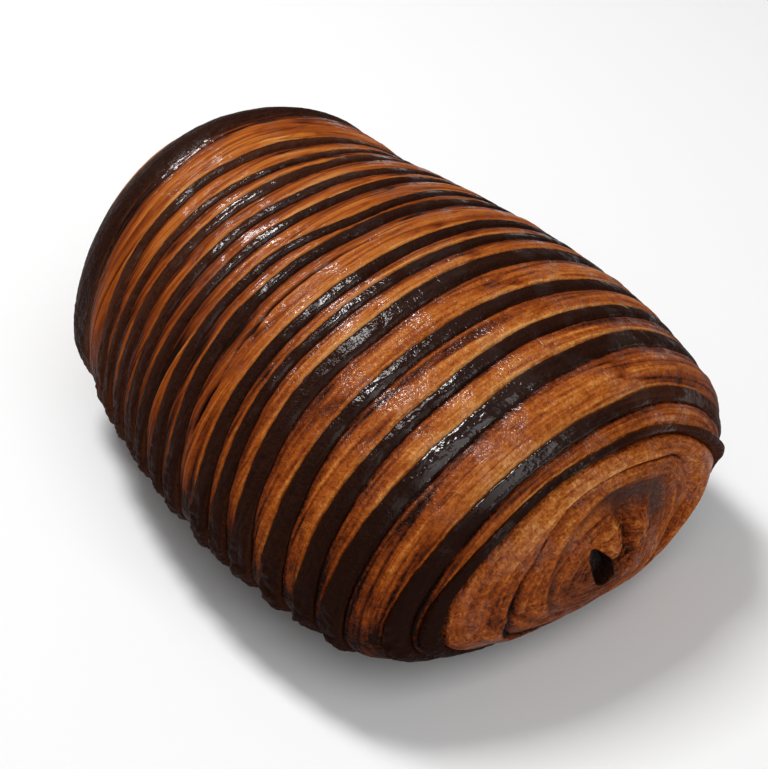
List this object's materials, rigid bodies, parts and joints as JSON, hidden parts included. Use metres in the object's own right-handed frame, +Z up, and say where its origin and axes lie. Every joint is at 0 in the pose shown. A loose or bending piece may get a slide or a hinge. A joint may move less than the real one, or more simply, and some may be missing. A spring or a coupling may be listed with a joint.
{
  "type": "pain au chocolat",
  "caption": "Striped rolled pastry with cocoa-dough bands, wound ends and a gianduja bar that runs through it.",
  "frame": {"origin": "on the surface that the pastry rests on, below the middle of its bounding box", "axes": "+X along the roll towards the end whose winding shows, +Z up"},
  "size_m": [0.1066, 0.0769, 0.0455],
  "materials": {
    "baked_dough": "glazed crust",
    "gianduja": "satin"
  },
  "bodies": {
    "root": {"pastry_roll": "baked_dough", "gianduja_bar": "gianduja"}
  },
  "joints": []
}
